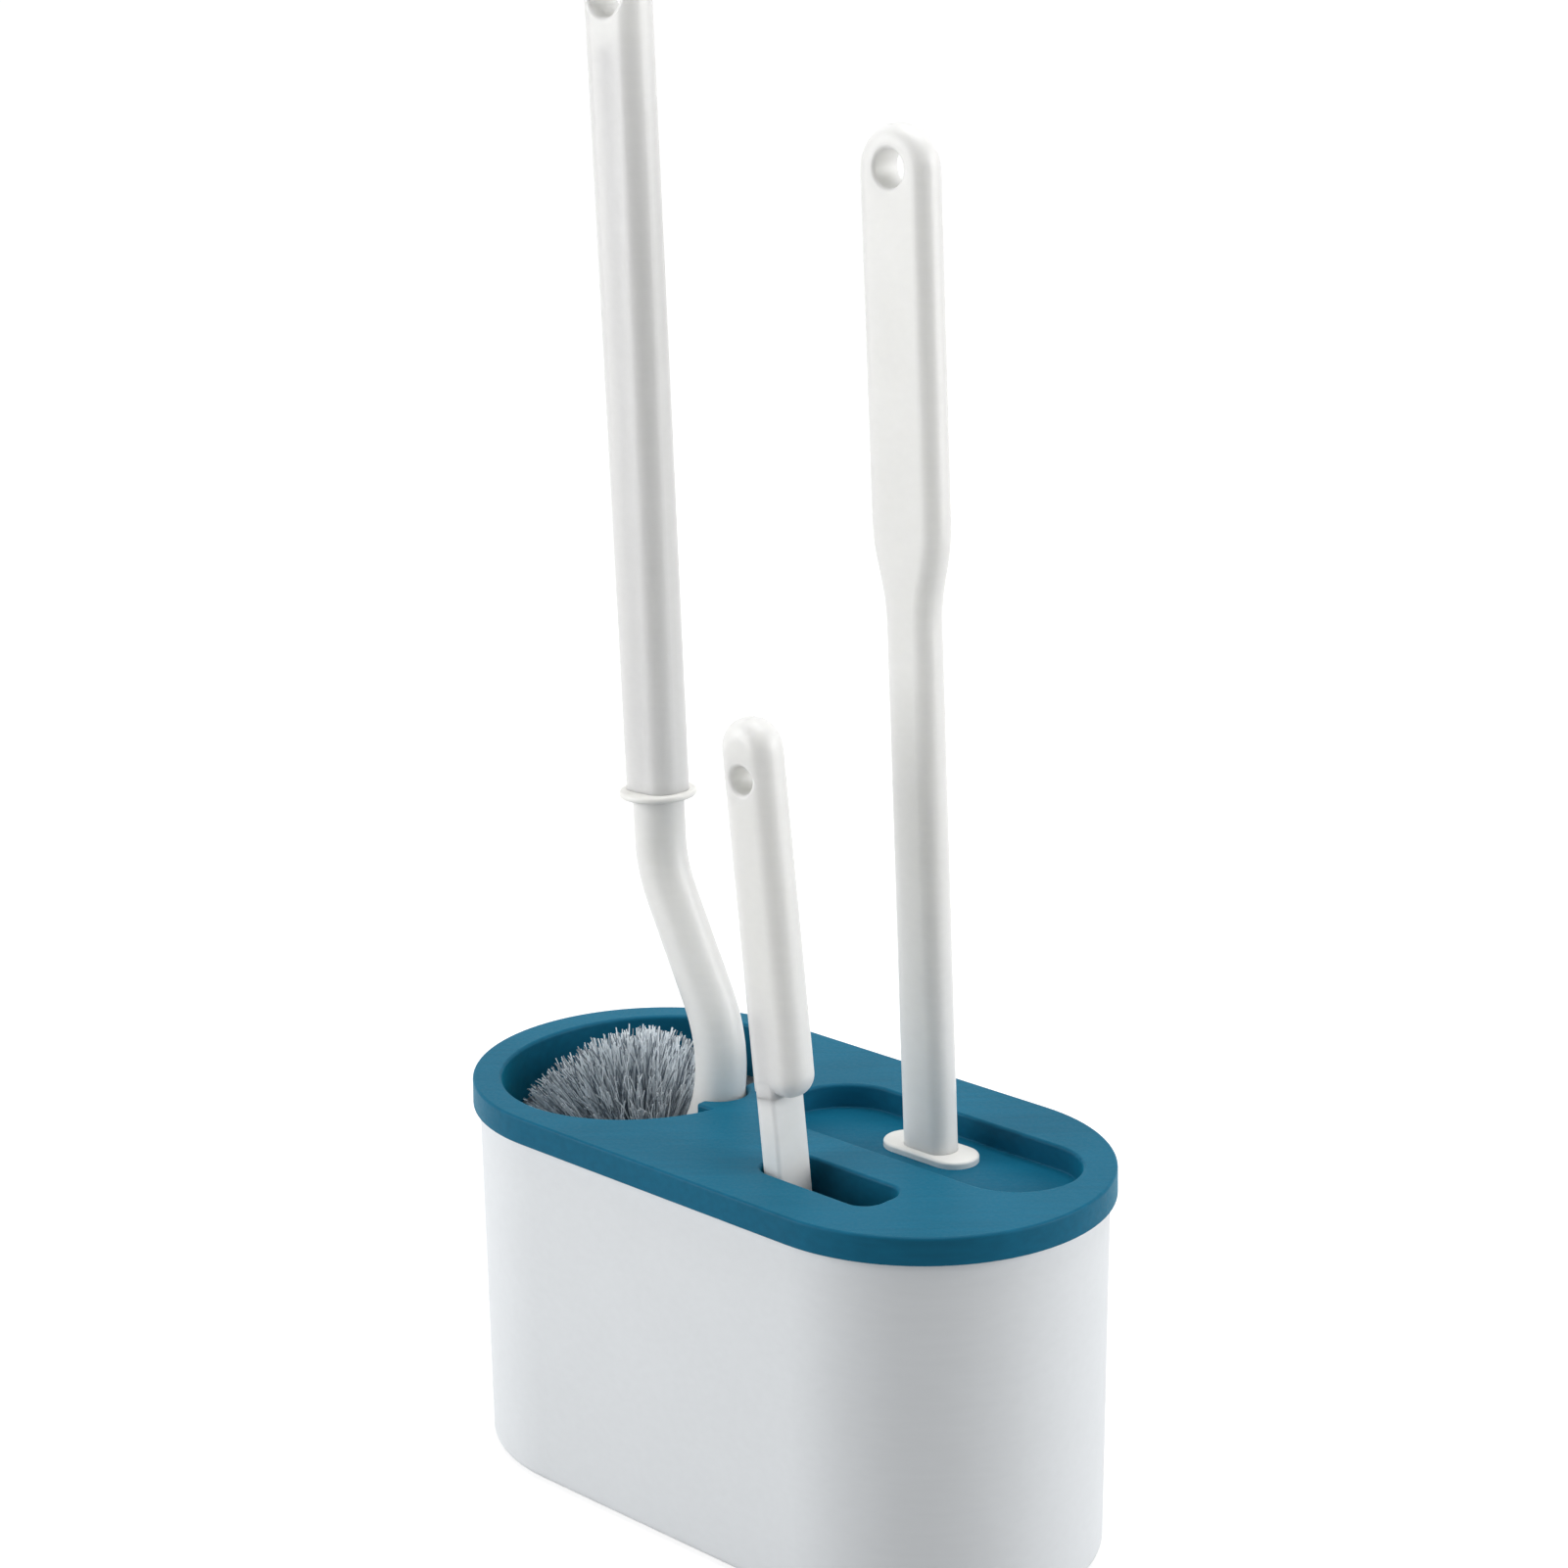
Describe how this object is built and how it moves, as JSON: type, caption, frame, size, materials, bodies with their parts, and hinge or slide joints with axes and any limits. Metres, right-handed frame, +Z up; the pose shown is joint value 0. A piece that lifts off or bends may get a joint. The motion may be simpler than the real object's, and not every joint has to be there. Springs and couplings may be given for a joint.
{
  "type": "toilet brush holder",
  "caption": "Oval free-standing brush holder with a lift-off lid that holds a bent-neck round toilet brush, a small gap brush and a long flat brush, each of which lifts out.",
  "frame": {"origin": "middle of the cup's flat underside", "axes": "+Z up, +X along the cup from the round brush towards the flat brush, -Y the front long side"},
  "size_m": [0.2064, 0.105, 0.4243],
  "materials": {
    "cup_white": "fine matte moulded",
    "lid_blue": "satin moulded",
    "handle_white": "satin moulded",
    "ring_cream": "satin moulded",
    "core_white": "satin moulded",
    "bristle_grey": "extruded filament"
  },
  "bodies": {
    "holder": {"cup": "cup_white"},
    "lid": {"lid": "lid_blue"},
    "toilet_brush": {"long_handle": "handle_white", "joint_ring": "ring_cream", "curved_neck": "handle_white", "round_core": "core_white", "round_bristles": "bristle_grey"},
    "gap_brush": {"gap_grip": "handle_white", "gap_blade": "handle_white", "gap_bristles": "bristle_grey"},
    "flat_brush": {"flat_handle": "handle_white", "seat_flange": "ring_cream", "flat_head": "core_white", "flat_bristles": "bristle_grey"}
  },
  "joints": [
    {"name": "lid_lift", "type": "slide", "parent": "holder", "child": "lid", "axis": [0, 0, 1], "range_m": [0, 0.125]},
    {"name": "toilet_brush_lift", "type": "slide", "parent": "lid", "child": "toilet_brush", "axis": [0, 0, 1], "range_m": [0, 0.125]},
    {"name": "gap_brush_lift", "type": "slide", "parent": "lid", "child": "gap_brush", "axis": [-0.1123, 0, 0.9937], "range_m": [0, 0.12]},
    {"name": "flat_brush_lift", "type": "slide", "parent": "lid", "child": "flat_brush", "axis": [-0.0401, 0, 0.9992], "range_m": [0, 0.1]}
  ]
}
